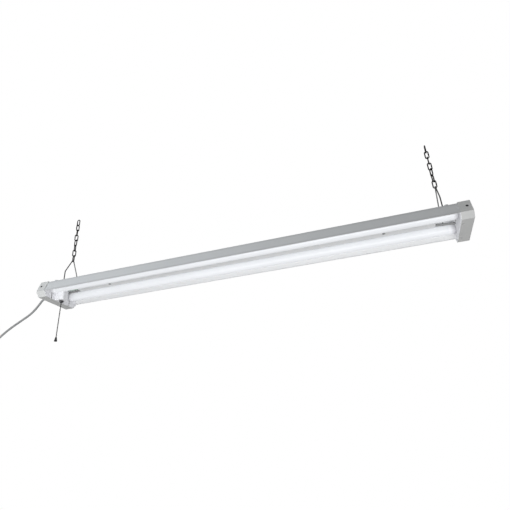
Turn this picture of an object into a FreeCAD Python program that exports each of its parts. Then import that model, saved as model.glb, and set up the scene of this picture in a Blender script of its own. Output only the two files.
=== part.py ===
"""Four-foot hanging grow lamp: two tubes under a folded hood, hung on two link chains.

Shapes are drawn in the hood's frame, in millimetres: X along the lamp, Y across it, Z up, with Z = 0 on the
hood's top plate. save() lowers each one to the part's own frame, whose origin is midway between the two
chains at the height where the longer chain's top link bears on its ceiling hook.
"""
import FreeCAD, Part
import math
import os

V = FreeCAD.Vector
X_AXIS = V(1, 0, 0)
Y_AXIS = V(0, 1, 0)
Z_AXIS = V(0, 0, 1)

# Hood: a folded steel sheet, open below
HOOD_HALF_LENGTH = 625.0
TOP_HALF = 60.6
LIP_HALF = 73.5
HOOD_DEPTH = 33.3
HEM = 2.6
SHEET = 0.8
WALL_ANGLE = math.atan2(LIP_HALF - TOP_HALF, HOOD_DEPTH)
MOUNT_HOLE_X = 305.0
MOUNT_HOLE_RADIUS = 2.75
SCREW_HOLE = 1.6
BUTTON_RADIUS = 5.5
BUTTON_HEIGHT = 3.8
BUTTON_Y = 54.8

# End caps
CAP_SEAM = 601.2
BULKHEAD_FACE = 600.0
BULKHEAD = 2.5
CAP_END = 630.5
CAP_SKIN = 1.6
CAP_TOP = 1.8
CAP_TOP_HALF = 62.4
CAP_LIP_HALF = 75.8
CAP_LIP_Z = -34.0
CAP_BOTTOM_HALF = 63.2
CAP_BOTTOM = -48.8
CAP_SCREW_X = 619.4
CAP_SCREW_Z = -16.2

# Tubes and their holders
TUBE_Y = 40.4
TUBE_Z = -18.9
TUBE_RADIUS = 13.0
TUBE_HALF_LENGTH = 599.5
COLLAR_LENGTH = 17.0
PIN_SPREAD = 6.35
PIN_RADIUS = 1.17
PIN_LENGTH = 7.1
ROTOR_RADIUS = 8.5
HOLDER_BACK = 614.0

# Channel cover and what it hides
COVER_START = -537.5
COVER_END = 550.5
COVER_HALF = 19.0
COVER_FLANGE = 4.0
COVER_DEPTH = 14.5
COVER_SHEET = 0.7
BRACKET_X = 420.0
BRACKET_RIVET_Y = -6.0
DRIVER_HALF_LENGTH = 100.0
DRIVER_HALF_WIDTH = 15.0
DRIVER_SCREW_X = DRIVER_HALF_LENGTH + 6.0
GROUND_X = -470.0

# Hangers and chains
HANGER_X = 572.3
WIRE_RADIUS = 1.6
LEG_Y = 29.3
LEG_BEND_Z = 44.0
APEX_Z = 94.05
FOOT_Z = -2.6
FOOT_END_Y = 41.5
FOOT_BEND = 2.4
LEG_BEND = 7.0
CREST_BEND = 3.9
CREST_SETBACK = 4.32
LINK_WIRE = 1.6
LINK_BEND = 4.55
LINK_SPAN = 23.0
LINK_GAP = 0.3
LINK_PITCH = LINK_SPAN - 2 * LINK_WIRE - LINK_GAP
LEFT_TURNS = (-25, 43, -72, -9, 54, -37, 74, 0)
RIGHT_TURNS = (-10, 55, -62, 2, 80, -10, 90)
LOWEST_WIRE = APEX_Z - WIRE_RADIUS - LINK_WIRE - LINK_GAP
HANG_LEVEL = LOWEST_WIRE + 7 * LINK_PITCH + LINK_SPAN - LINK_WIRE

# Pull switch in the left cap
PULL_X = -586.0
PULL_Y = -11.3
BOSS_END = -571.0
BOSS_HALF = 14.0
BOSS_TOP = -17.0
BUSHING_BOTTOM = -55.2
BEAD_RADIUS = 1.8
BEAD_PITCH = 4.2
BEADS = 26
FIRST_BEAD = -65.2
LINK_BEAD = -61.0
BELL_BOTTOM = -180.1

# Mains cord: visible run, then the put-away coil
CORD = 6.6
EXIT_Z = -22.0
RELIEF_TIP = -641.0
COIL_RADIUS = 36.2
COIL_BUNDLE = 10.0
CORD_ROUTE = (
    V(-641, 0, -22), V(-652.5, 0, -22), V(-663.5, 0, -25.3), V(-674, 0, -32.3), V(-683.5, 0, -44.3),
    V(-696, 0, -58), V(-714, 0, -71), V(-746, 0, -86), V(-781, 0, -104), V(-817, 0, -129),
    V(-841, 0, -152), V(-856, 0, -180), V(-862, 0, -205), V(-862, 0, -225))
TAIL_END = -266.0
COIL_X = CORD_ROUTE[-1].x - COIL_RADIUS
COIL_Z = CORD_ROUTE[-1].z


# ---- helpers -------------------------------------------------------------------------------------------

def save(name, shape):
    """Write one named piece, lowered to the hanging level."""
    placed = shape.copy()
    placed.translate(V(0, 0, -HANG_LEVEL))
    placed.exportStep(f"parts/{name}.step")


def fuse(first, *others):
    """Join solids into one and drop the seams between them."""
    return first.fuse(list(others)).removeSplitter()


def box(x, y, z):
    """Box from three (low, high) pairs."""
    return Part.makeBox(x[1] - x[0], y[1] - y[0], z[1] - z[0], V(x[0], y[0], z[0]))


def rod(radius, start, end):
    """Solid cylinder between two points."""
    along = end - start
    return Part.makeCylinder(radius, along.Length, start, along)


def cone(radius_a, radius_b, start, end):
    """Solid cone between two points."""
    along = end - start
    return Part.makeCone(radius_a, radius_b, along.Length, start, along)


def prism_x(points, x_from, x_to):
    """Extrude a (y, z) outline along X."""
    corners = [V(x_from, y, z) for y, z in points]
    return Part.Face(Part.makePolygon(corners + corners[:1])).extrude(V(x_to - x_from, 0, 0))


def folded(path, thickness):
    """Outline of a sheet folded along a (y, z) path, with its thickness on the path's right-hand side."""
    inner = []
    for index, (y, z) in enumerate(path):
        normals = []
        for a, b in ((index - 1, index), (index, index + 1)):
            if a >= 0 and b < len(path):
                dy = path[b][0] - path[a][0]
                dz = path[b][1] - path[a][1]
                size = math.hypot(dy, dz)
                normals.append((dz / size, -dy / size))
        sum_y = sum(n[0] for n in normals)
        sum_z = sum(n[1] for n in normals)
        stretch = len(normals) * thickness / (sum_y ** 2 + sum_z ** 2)
        inner.append((y + sum_y * stretch, z + sum_z * stretch))
    return list(path) + inner[::-1]


def mirror_x(shape):
    """The same piece at the lamp's other end."""
    return shape.mirror(V(0, 0, 0), X_AXIS)


def bend_radius(before, corner, after):
    """Largest radius of the arc that rounds a corner, and how far from the corner that arc starts."""
    incoming = (corner - before).normalize()
    outgoing = (after - corner).normalize()
    half_turn = incoming.getAngle(outgoing) / 2
    setback = 0.45 * min((corner - before).Length, (after - corner).Length)
    return setback / math.tan(half_turn), setback


def rounded(points, bends=None):
    """Straight runs joined by tangent arcs; bends gives each corner's radius, or None for the largest."""
    edges = []
    last = points[0]
    radii = []
    for index in range(1, len(points) - 1):
        before, corner, after = points[index - 1:index + 2]
        radius, setback = bend_radius(before, corner, after)
        incoming = (corner - before).normalize()
        outgoing = (after - corner).normalize()
        half_turn = incoming.getAngle(outgoing) / 2
        if bends:
            radius = bends[index - 1]
            setback = radius * math.tan(half_turn)
        start = corner - incoming * setback
        end = corner + outgoing * setback
        inward = (outgoing - incoming).normalize()
        middle = corner + inward * (radius / math.cos(half_turn) - radius)
        edges.append(Part.LineSegment(last, start).toShape())
        edges.append(Part.Arc(start, middle, end).toShape())
        last = end
        radii.append(radius)
    edges.append(Part.LineSegment(last, points[-1]).toShape())
    return Part.Wire(edges), radii


def pipe(points, radius, bends=None):
    """Round bar or cord along a route."""
    path, _ = rounded(points, bends)
    section = Part.Wire(Part.makeCircle(radius, points[0], points[1] - points[0]))
    return path.makePipeShell([section], True, False)


def screw(head, shank, start, outward, length, head_height):
    """Pan-head screw: start is under the head, outward points from the head's seat to its top."""
    axis = V(outward).normalize()
    top = start + axis * head_height
    slot = rod(head * 0.28, top - axis * head_height * 0.45, top + axis)
    body = fuse(rod(head, start, top), rod(shank, start - axis * length, start))
    return body.cut(slot)


def group(shapes):
    """Separate solids kept together in one node."""
    return Part.makeCompound(shapes)


# ---- hood and end caps -----------------------------------------------------------------------------------

def hood():
    """Top plate, flared sides and in-turned hems, with hanger slots, screw holes and rivet buttons."""
    path = ((-(LIP_HALF - HEM), -HOOD_DEPTH), (-LIP_HALF, -HOOD_DEPTH), (-TOP_HALF, 0),
            (TOP_HALF, 0), (LIP_HALF, -HOOD_DEPTH), (LIP_HALF - HEM, -HOOD_DEPTH))
    shell = prism_x(folded(path, SHEET), -HOOD_HALF_LENGTH, HOOD_HALF_LENGTH)
    buttons = [button(side * (HANGER_X + 4.5), row * BUTTON_Y) for side in (-1, 1) for row in (-1, 1)]
    shell = fuse(shell, *buttons)
    cuts = []
    for side in (-1, 1):
        for row in (-1, 1):
            x = side * HANGER_X
            y = row * (LEG_Y + 0.4)
            cuts.append(box((x - 4, x + 4), (y - 2.3, y + 2.3), (-3, 3)))
            wall_hole = V(side * CAP_SCREW_X, 0, 0) + wall_point(row)
            cuts.append(rod(SCREW_HOLE, wall_hole - wall_normal(row) * 8, wall_hole + wall_normal(row) * 4))
            cuts.append(top_hole(SCREW_HOLE, side * (HOLDER_BACK + 4.0), row * TUBE_Y))
        cuts.append(top_hole(MOUNT_HOLE_RADIUS, side * MOUNT_HOLE_X, 0))
        cuts.append(top_hole(SCREW_HOLE, side * DRIVER_SCREW_X, 0))
    cuts.append(top_hole(1.8, GROUND_X, 0))
    for x in (-BRACKET_X, BRACKET_X):
        cuts.append(top_hole(SCREW_HOLE, x, BRACKET_RIVET_Y))
    return shell.cut(cuts)


def top_hole(radius, x, y):
    """Cutter for a round hole through the top plate."""
    return rod(radius, V(x, y, -3), V(x, y, 3))


def button(x, y):
    """Domed rivet button standing on the top plate beside a hanger."""
    post = rod(BUTTON_RADIUS, V(x, y, -SHEET / 2), V(x, y, BUTTON_HEIGHT))
    rim = [e for e in post.Edges if e.Closed and abs(e.Vertexes[0].Z - BUTTON_HEIGHT) < 0.01]
    return post.makeFillet(2.6, rim)


def wall_point(row):
    """Point of the sloping wall's outer face where an end-cap screw goes through."""
    y = TOP_HALF - CAP_SCREW_Z * math.tan(WALL_ANGLE)
    return V(0, row * y, CAP_SCREW_Z)


def wall_normal(row):
    """Outward normal of the near (row -1) or far (row 1) wall."""
    return V(0, row * math.cos(WALL_ANGLE), math.sin(WALL_ANGLE))


def offset_outline(points, distance):
    """Grow or shrink a closed (y, z) outline, keeping sharp corners."""
    corners = [V(y, z, 0) for y, z in points]
    wire = Part.makePolygon(corners + corners[:1])
    moved = wire.makeOffset2D(distance, 2)
    return [(v.Point.x, v.Point.y) for v in moved.OrderedVertexes]


def end_cap():
    """Moulded cap for the right end: outer skin, end wall, and an inner bulkhead that the tubes face."""
    outline = ((-CAP_TOP_HALF, CAP_TOP), (CAP_TOP_HALF, CAP_TOP), (CAP_LIP_HALF, CAP_LIP_Z),
               (CAP_BOTTOM_HALF, CAP_BOTTOM), (-CAP_BOTTOM_HALF, CAP_BOTTOM), (-CAP_LIP_HALF, CAP_LIP_Z))
    block = prism_x(outline, CAP_SEAM, CAP_END)
    end_edges = [e for e in block.Edges if all(abs(v.X - CAP_END) < 0.01 for v in e.Vertexes)]
    block = block.makeFillet(2.2, end_edges)
    cavity = prism_x(offset_outline(outline, -CAP_SKIN), CAP_SEAM - 1, CAP_END - 2.0)
    skin = block.cut(cavity)
    upper = ((-(TOP_HALF - 1.6), -1.2), (TOP_HALF - 1.6, -1.2), (LIP_HALF - 2.2, -HOOD_DEPTH + 1.3),
             (-(LIP_HALF - 2.2), -HOOD_DEPTH + 1.3))
    neck = LIP_HALF - HEM - 0.4
    hem_clear = -HOOD_DEPTH - 0.3
    lower = ((-(CAP_LIP_HALF - 0.3), hem_clear), (CAP_LIP_HALF - 0.3, hem_clear), (CAP_LIP_HALF, CAP_LIP_Z),
             (CAP_BOTTOM_HALF, CAP_BOTTOM), (-CAP_BOTTOM_HALF, CAP_BOTTOM), (-CAP_LIP_HALF, CAP_LIP_Z))
    back = BULKHEAD_FACE + BULKHEAD
    bulkhead = fuse(prism_x(upper, BULKHEAD_FACE, back), prism_x(lower, BULKHEAD_FACE, back),
                    box((BULKHEAD_FACE, back), (-neck, neck), (hem_clear - 1, -HOOD_DEPTH + 2)))
    cap = fuse(skin, bulkhead)
    cuts = [box((BULKHEAD_FACE - 1, back + 1), (-17, 17), (-14, 0))]
    for row in (-1, 1):
        y = row * TUBE_Y
        cuts.append(rod(10.0, V(BULKHEAD_FACE - 1, y, TUBE_Z), V(back + 1, y, TUBE_Z)))
        cuts.append(box((BULKHEAD_FACE - 1, 608.5), (y - 1.7, y + 1.7), (CAP_BOTTOM - 1, TUBE_Z)))
        seat = V(CAP_SCREW_X, 0, 0) + wall_point(row) + wall_normal(row) * 2.6
        cuts.append(cone(4.1, 1.9, seat, seat - wall_normal(row) * 2.0))
        cuts.append(rod(1.8, seat, seat - wall_normal(row) * 5))
    return cap.cut(cuts)


def left_cap():
    """The left cap carries the pull switch in a hollow boss and the cord's strain relief in its end wall."""
    cap = mirror_x(end_cap())
    y = (PULL_Y - BOSS_HALF, PULL_Y + BOSS_HALF)
    boss = box((-BULKHEAD_FACE - 0.5, BOSS_END), y, (CAP_BOTTOM, BOSS_TOP))
    corners = [e for e in boss.Edges if e.Length > 20 and abs(e.Vertexes[0].X - BOSS_END) < 0.01
               and abs(e.Vertexes[1].X - BOSS_END) < 0.01 and abs(e.tangentAt(0).z) > 0.9]
    boss = boss.makeFillet(7.0, corners)
    wall = 1.8
    hollow = box((-BULKHEAD_FACE + 0.6, BOSS_END - wall), (y[0] + wall, y[1] - wall),
                 (CAP_BOTTOM + wall, BOSS_TOP + 1))
    boss = boss.cut(hollow.makeFillet(5.2, [e for e in hollow.Edges if abs(e.tangentAt(0).z) > 0.9
                                            and abs(e.Vertexes[0].X - BOSS_END + wall) < 0.01]))
    cap = fuse(cap, boss)
    nose = rod(5.0, V(PULL_X, PULL_Y, CAP_BOTTOM - 1), V(PULL_X, PULL_Y, CAP_BOTTOM + 4))
    relief = rod(6.6, V(-CAP_END - 1, 0, EXIT_Z), V(-CAP_END + 6, 0, EXIT_Z))
    return cap.cut([nose, relief])


def cap_screws():
    """Four countersunk screws, one in each side of each cap."""
    screws = []
    for side in (-1, 1):
        for row in (-1, 1):
            seat = V(side * CAP_SCREW_X, 0, 0) + wall_point(row)
            out = wall_normal(row)
            head = cone(3.2, 1.4, seat + out * 2.0, seat + out * 0.4)
            shank = rod(1.4, seat + out * 0.4, seat - out * 5.5)
            cross = box((-0.45, 0.45), (-1.9, 1.9), (-0.7, 0.7))
            cross = fuse(cross, box((-1.9, 1.9), (-0.45, 0.45), (-0.7, 0.7)))
            cross.Placement = FreeCAD.Placement(seat + out * 2.0, FreeCAD.Rotation(Z_AXIS, out))
            screws.append(fuse(head, shank).cut(cross))
    return group(screws)


# ---- channel cover and electrics -------------------------------------------------------------------------

def channel_cover():
    """Shallow folded cover under the middle of the top plate."""
    top = -SHEET - 0.3 - COVER_SHEET
    path = ((COVER_HALF + COVER_FLANGE, top), (COVER_HALF, top), (COVER_HALF, -COVER_DEPTH),
            (-COVER_HALF, -COVER_DEPTH), (-COVER_HALF, top), (-COVER_HALF - COVER_FLANGE, top))
    cover = prism_x(folded(path, COVER_SHEET), COVER_START, COVER_END)
    holes = [rod(2.0, V(x, 0, -COVER_DEPTH - 3), V(x, 0, -COVER_DEPTH + 3)) for x in (-BRACKET_X, BRACKET_X)]
    return cover.cut(holes)


def cover_brackets():
    """Two Z-shaped brackets between the top plate and the cover's floor."""
    brackets = []
    for x in (-BRACKET_X, BRACKET_X):
        top = -SHEET - 0.2
        shelf = -COVER_DEPTH + COVER_SHEET + 0.3
        path = ((-12, top), (13, top), (13, shelf), (-7, shelf))
        bracket = prism_x(folded(path, 1.0), x - 8, x + 8)
        brackets.append(bracket.cut([rod(1.9, V(x, 0, -20), V(x, 0, -8)),
                                     rod(1.6, V(x, BRACKET_RIVET_Y, -4), V(x, BRACKET_RIVET_Y, 0))]))
    return group(brackets)


def cover_screws():
    """Pan-head screws that hold the cover up against its brackets."""
    return group([screw(3.6, 1.6, V(x, 0, -COVER_DEPTH - 0.1), V(0, 0, -1), 6.0, 2.0)
                  for x in (-BRACKET_X, BRACKET_X)])


def led_driver():
    """Slim driver box with a screw foot at each end."""
    length = (-DRIVER_HALF_LENGTH, DRIVER_HALF_LENGTH)
    width = (-DRIVER_HALF_WIDTH, DRIVER_HALF_WIDTH)
    case = box(length, width, (-12.4, -1.2))
    upright = [e for e in case.Edges if abs(e.tangentAt(0).z) > 0.9]
    case = case.makeFillet(2.0, upright)
    feet = [box((x - 7, x + 7), (-9, 9), (-2.8, -1.2)) for x in (-DRIVER_SCREW_X, DRIVER_SCREW_X)]
    holes = [rod(1.9, V(x, 0, -4), V(x, 0, 0)) for x in (-DRIVER_SCREW_X, DRIVER_SCREW_X)]
    return fuse(case, *feet).cut(holes)


def driver_screws():
    """Screws through the driver's feet into the top plate."""
    return group([screw(3.0, 1.4, V(x, 0, -2.9), V(0, 0, -1), 2.8, 1.6)
                  for x in (-DRIVER_SCREW_X, DRIVER_SCREW_X)])


def supply_leads():
    """Line, neutral and ground leads from the left cap along the channel."""
    line = [V(-608, 5, -8), V(-560, 5, -8), V(-530, 5.5, -6), V(-117, 5.5, -6)]
    neutral = [V(p.x, -p.y, p.z) for p in line]
    ground = [V(-608, 10, -8), V(-560, 10, -8), V(-500, 9, -9), V(GROUND_X + 4, 9, -9)]
    return group([pipe(route, 1.1, [30, 30]) for route in (line, neutral, ground)])


def lamp_leads():
    """Leads from the driver to the two right-hand lampholders."""
    leads = []
    for row in (-1, 1):
        route = [V(117, row * 5, -6), V(560, row * 5, -6), V(608.5, row * 7, -8), V(608.5, row * 26, -10)]
        leads.append(pipe(route, 1.1, [30, 6]))
    return group(leads)


def wire_nuts():
    """Twist-on connectors where the supply leads are joined."""
    nuts = []
    for y in (-13.2, 14.4):
        shell = fuse(cone(3.6, 2.4, V(-508, y, -8), V(-494, y, -8)), rod(3.9, V(-511, y, -8), V(-508, y, -8)))
        nuts.append(shell.cut(rod(1.8, V(-512, y, -8), V(-500, y, -8))))
    return group(nuts)


def ground_screw():
    """Hex-head ground screw into the top plate."""
    corners = [V(GROUND_X + 4 * math.cos(math.radians(60 * k)), 4 * math.sin(math.radians(60 * k)), -4.0)
               for k in range(6)]
    head = Part.Face(Part.makePolygon(corners + corners[:1])).extrude(V(0, 0, 2.6))
    return fuse(head, rod(1.6, V(GROUND_X, 0, -2), V(GROUND_X, 0, 0.6)))


# ---- lampholders and tubes -------------------------------------------------------------------------------

def lampholder(side, row):
    """Socket block with a round mouth, a bore for its rotor and a slot that lets the pins in from below."""
    y = row * TUBE_Y
    back = BULKHEAD_FACE + BULKHEAD + 0.3
    body = box((back, HOLDER_BACK), (y - 11, y + 11), (TUBE_Z - 11.5, -SHEET - 0.4))
    lower = [e for e in body.Edges if abs(e.tangentAt(0).x) > 0.9 and e.Vertexes[0].Z < TUBE_Z]
    body = body.makeFillet(8.0, lower)
    mouth = rod(9.7, V(BULKHEAD_FACE + 0.3, y, TUBE_Z), V(back + 1, y, TUBE_Z))
    foot = box((HOLDER_BACK - 1, HOLDER_BACK + 9), (y - 7, y + 7), (-SHEET - 2.6, -SHEET - 0.4))
    bore = rod(ROTOR_RADIUS + 0.3, V(BULKHEAD_FACE - 1, y, TUBE_Z), V(HOLDER_BACK - 2, y, TUBE_Z))
    entry = box((BULKHEAD_FACE - 1, 608.5), (y - 1.5, y + 1.5), (TUBE_Z - 13, TUBE_Z))
    hole = rod(1.8, V(HOLDER_BACK + 4, y, -6), V(HOLDER_BACK + 4, y, 0))
    holder = fuse(body, mouth, foot).cut([bore, entry, hole])
    return holder if side > 0 else mirror_x(holder)


def lampholder_screws():
    """One screw through each lampholder's foot into the top plate."""
    seats = [V(side * (HOLDER_BACK + 4), row * TUBE_Y, -SHEET - 2.7) for side in (-1, 1) for row in (-1, 1)]
    return group([screw(2.9, 1.4, seat, V(0, 0, -1), 3.2, 1.6) for seat in seats])


def tube_lens(row):
    """Frosted tube between the two end collars."""
    reach = TUBE_HALF_LENGTH - COLLAR_LENGTH - 0.1
    start = V(-reach, row * TUBE_Y, TUBE_Z)
    end = V(reach, row * TUBE_Y, TUBE_Z)
    return rod(TUBE_RADIUS - 0.4, start, end).cut(rod(TUBE_RADIUS - 1.4, start - X_AXIS, end + X_AXIS))


def tube_collars(row):
    """Moulded collar with a domed shoulder at each end of the tube."""
    y = row * TUBE_Y
    inner = TUBE_HALF_LENGTH - COLLAR_LENGTH
    collar = rod(TUBE_RADIUS, V(inner, y, TUBE_Z), V(TUBE_HALF_LENGTH, y, TUBE_Z))
    rim = [e for e in collar.Edges if e.Closed and abs(e.Vertexes[0].X - TUBE_HALF_LENGTH) < 0.01]
    collar = collar.makeFillet(1.8, rim)
    collar = collar.cut(rod(TUBE_RADIUS - 1.4, V(inner - 1, y, TUBE_Z), V(TUBE_HALF_LENGTH - 2, y, TUBE_Z)))
    for turn in (-1, 1):
        collar = collar.cut(rod(PIN_RADIUS + 0.1, V(inner, y + turn * PIN_SPREAD, TUBE_Z),
                                V(TUBE_HALF_LENGTH + 1, y + turn * PIN_SPREAD, TUBE_Z)))
    return group([collar, mirror_x(collar)])


def tube_pins(row):
    """Two contact pins at each end."""
    pins = []
    for turn in (-1, 1):
        y = row * TUBE_Y + turn * PIN_SPREAD
        tip = V(TUBE_HALF_LENGTH + PIN_LENGTH, y, TUBE_Z)
        pin = fuse(rod(PIN_RADIUS, V(TUBE_HALF_LENGTH - 8, y, TUBE_Z), tip - X_AXIS),
                   cone(PIN_RADIUS, PIN_RADIUS * 0.5, tip - X_AXIS, tip))
        pins += [pin, mirror_x(pin)]
    return group(pins)


def tube_rotors(row):
    """Rotors that turn in the lampholders with the tube's pins."""
    y = row * TUBE_Y
    rotor = rod(ROTOR_RADIUS, V(BULKHEAD_FACE + 0.5, y, TUBE_Z), V(HOLDER_BACK - 2.4, y, TUBE_Z))
    reach = ROTOR_RADIUS + 1
    half_slot = PIN_RADIUS + 0.15
    slot = box((BULKHEAD_FACE, TUBE_HALF_LENGTH + PIN_LENGTH + 1), (y - reach, y + reach),
               (TUBE_Z - half_slot, TUBE_Z + half_slot))
    rotor = rotor.cut(slot)
    return group([rotor, mirror_x(rotor)])


def tube_heat_sink(row):
    """Half-round aluminium tray that stiffens the tube and carries its board."""
    y = row * TUBE_Y
    reach = TUBE_HALF_LENGTH - COLLAR_LENGTH - 2
    radius = TUBE_RADIUS - 1.7
    bar = rod(radius, V(-reach, y, TUBE_Z), V(reach, y, TUBE_Z))
    core = rod(radius - 1.2, V(-reach - 1, y, TUBE_Z), V(reach + 1, y, TUBE_Z))
    below = box((-reach - 1, reach + 1), (y - 14, y + 14), (TUBE_Z - 14, TUBE_Z + 3.2))
    shelf = box((-reach, reach), (y - 10.4, y + 10.4), (TUBE_Z + 3.2, TUBE_Z + 4.4))
    return fuse(bar.cut(core).cut(below), shelf)


def tube_led_board(row):
    """Circuit strip with its light-emitting chips, facing down."""
    y = row * TUBE_Y
    reach = TUBE_HALF_LENGTH - COLLAR_LENGTH - 6
    board = box((-reach, reach), (y - 5, y + 5), (TUBE_Z + 2.1, TUBE_Z + 3.1))
    count = 36
    step = 2 * (reach - 12) / (count - 1)
    chips = [box((-reach + 10.6 + k * step, -reach + 13.4 + k * step), (y - 1.4, y + 1.4),
                 (TUBE_Z + 1.4, TUBE_Z + 2.1)) for k in range(count)]
    return fuse(board, *chips)


# ---- pull switch -----------------------------------------------------------------------------------------

def switch_body():
    """Switch case inside the cap's boss, with a chamber for its plunger."""
    case = box((PULL_X - 10, PULL_X + 10), (PULL_Y - 10, PULL_Y + 10), (-45.5, -19.5))
    chamber = rod(6.5, V(PULL_X, PULL_Y, -43.5), V(PULL_X, PULL_Y, -23.0))
    throat = rod(2.4, V(PULL_X, PULL_Y, -47), V(PULL_X, PULL_Y, -40))
    return case.cut([chamber, throat])


def switch_bushing():
    """Threaded nose with its hexagon nut and a flared mouth."""
    top = V(PULL_X, PULL_Y, -45.8)
    bottom = V(PULL_X, PULL_Y, BUSHING_BOTTOM)
    nose = rod(4.6, top, bottom)
    corners = [V(PULL_X + 7.2 * math.cos(math.radians(60 * k)), PULL_Y + 7.2 * math.sin(math.radians(60 * k)),
                 CAP_BOTTOM - 0.2) for k in range(6)]
    nut = Part.Face(Part.makePolygon(corners + corners[:1])).extrude(V(0, 0, -2.8))
    flare = cone(3.8, 2.4, bottom - Z_AXIS * 0.1, bottom + Z_AXIS * 2.5)
    return fuse(nose, nut).cut([rod(2.4, top + Z_AXIS, bottom - Z_AXIS), flare])


def pull_plunger():
    """Sprung plunger: a disc in the switch and a stem that ends in a small eye ball below the bushing."""
    centre = V(PULL_X, PULL_Y, 0)
    disc = rod(5.6, centre - Z_AXIS * 29.0, centre - Z_AXIS * 26.0)
    stem = rod(1.4, centre - Z_AXIS * 56.4, centre - Z_AXIS * 28.0)
    ball = Part.makeSphere(1.7, centre - Z_AXIS * 57.2)
    return fuse(disc, stem, ball)


def pull_link():
    """Coupling bead between the plunger and the bead chain."""
    centre = V(PULL_X, PULL_Y, LINK_BEAD)
    return fuse(Part.makeSphere(1.7, centre), rod(0.5, centre + Z_AXIS * 1.4, centre + Z_AXIS * 1.85))


def bead_chain():
    """Ball chain turned as one profile: beads on a thin wire, hanging straight down."""
    neck = 0.55
    half = math.sqrt(BEAD_RADIUS ** 2 - neck ** 2)
    edges = []
    top_end = LINK_BEAD - 1.95
    last = V(0, 0, top_end)
    edges.append(Part.LineSegment(last, V(neck, 0, last.z)).toShape())
    last = V(neck, 0, last.z)
    for index in range(BEADS):
        z = FIRST_BEAD - index * BEAD_PITCH
        top = V(neck, 0, z + half)
        edges.append(Part.LineSegment(last, top).toShape())
        last = V(neck, 0, z - half)
        edges.append(Part.Arc(top, V(BEAD_RADIUS, 0, z), last).toShape())
    tail = V(neck, 0, last.z - 1.2)
    edges.append(Part.LineSegment(last, tail).toShape())
    edges.append(Part.LineSegment(tail, V(0, 0, tail.z)).toShape())
    edges.append(Part.LineSegment(V(0, 0, tail.z), V(0, 0, top_end)).toShape())
    chain = Part.Face(Part.Wire(edges)).revolve(V(0, 0, 0), Z_AXIS, 360)
    chain.translate(V(PULL_X, PULL_Y, 0))
    return chain


def chain_bell():
    """Small bell-shaped pull at the chain's end."""
    last_bead = FIRST_BEAD - (BEADS - 1) * BEAD_PITCH
    top = last_bead + 2.5
    outline = [V(0.9, 0, top), V(2.4, 0, top), V(3.0, 0, top - 3.6), V(4.6, 0, BELL_BOTTOM + 1.2),
               V(4.6, 0, BELL_BOTTOM), V(3.6, 0, BELL_BOTTOM), V(2.0, 0, top - 3.6), V(1.9, 0, top - 0.7),
               V(0.9, 0, top - 0.7)]
    bell = Part.Face(Part.makePolygon(outline + outline[:1])).revolve(V(0, 0, 0), Z_AXIS, 360)
    bell.translate(V(PULL_X, PULL_Y, 0))
    return bell


# ---- hangers and chains ----------------------------------------------------------------------------------

def hanger():
    """V-shaped wire hanger for the right end; its feet turn outwards under the top plate."""
    half = [V(HANGER_X, -FOOT_END_Y, FOOT_Z), V(HANGER_X, -LEG_Y, FOOT_Z), V(HANGER_X, -LEG_Y, LEG_BEND_Z)]
    corner = [V(HANGER_X, 0, APEX_Z + CREST_SETBACK)]
    other_half = [V(p.x, -p.y, p.z) for p in reversed(half)]
    bends = [FOOT_BEND, LEG_BEND, CREST_BEND, LEG_BEND, FOOT_BEND]
    return pipe(half + corner + other_half, WIRE_RADIUS, bends)


def chain_link(side, number, turn):
    """One welded link, counted from the lowest, turned about the chain's own line."""
    straight = LINK_SPAN / 2 - LINK_BEND
    sides = [rod(LINK_WIRE, V(s * LINK_BEND, 0, -straight), V(s * LINK_BEND, 0, straight)) for s in (-1, 1)]
    reach = LINK_BEND + 2 * LINK_WIRE
    ring = Part.makeTorus(LINK_BEND, LINK_WIRE, V(0, 0, straight), Y_AXIS)
    top = ring.common(box((-reach, reach), (-reach, reach), (straight, straight + reach)))
    bottom = top.mirror(V(0, 0, 0), Z_AXIS)
    link = fuse(top, bottom, *sides)
    link.rotate(V(0, 0, 0), Z_AXIS, turn)
    link.translate(V(side * HANGER_X, 0, LOWEST_WIRE + LINK_SPAN / 2 + (number - 1) * LINK_PITCH))
    return link


# ---- mains cord ------------------------------------------------------------------------------------------

def strain_relief():
    """Tapered sleeve that grips the cord in the cap's end wall."""
    inside = rod(6.3, V(-CAP_END + 9, 0, EXIT_Z), V(-CAP_END - 1, 0, EXIT_Z))
    flange = rod(8.4, V(-CAP_END - 0.2, 0, EXIT_Z), V(-CAP_END - 2.0, 0, EXIT_Z))
    taper = cone(6.2, 4.6, V(-CAP_END - 2.0, 0, EXIT_Z), V(RELIEF_TIP, 0, EXIT_Z))
    return fuse(inside, flange, taper)


def mains_cord():
    """The cord's free run and, past the coil, its short tail to the plug."""
    run = pipe(list(CORD_ROUTE), CORD / 2)
    tail = rod(CORD / 2, V(CORD_ROUTE[-1].x, 0, COIL_Z), V(CORD_ROUTE[-1].x, 0, TAIL_END))
    path, radii = rounded(list(CORD_ROUTE))
    expected = math.pi * (CORD / 2) ** 2 * path.Length
    print("cord arc radii, mm:", [round(r, 1) for r in radii])
    print("cord run length, mm:", round(path.Length, 1), "volume ratio:", round(run.Volume / expected, 4))
    return group([run, tail])


def cord_coil():
    """Outer shape of the put-away turns."""
    return Part.makeTorus(COIL_RADIUS, COIL_BUNDLE, V(COIL_X, 0, COIL_Z), Y_AXIS)


def coil_tie():
    """Tie strap around the coil's turns, with its buckle."""
    centre = V(COIL_X - COIL_RADIUS, 0, COIL_Z)
    band = rod(COIL_BUNDLE + 1.1, centre - Z_AXIS * 2.4, centre + Z_AXIS * 2.4)
    band = band.cut(rod(COIL_BUNDLE + 0.1, centre - Z_AXIS * 4, centre + Z_AXIS * 4))
    x = centre.x - COIL_BUNDLE
    buckle = box((x - 5.0, x - 0.6), (-3.6, 3.6), (COIL_Z - 3.6, COIL_Z + 3.6))
    return fuse(band, buckle)


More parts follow.
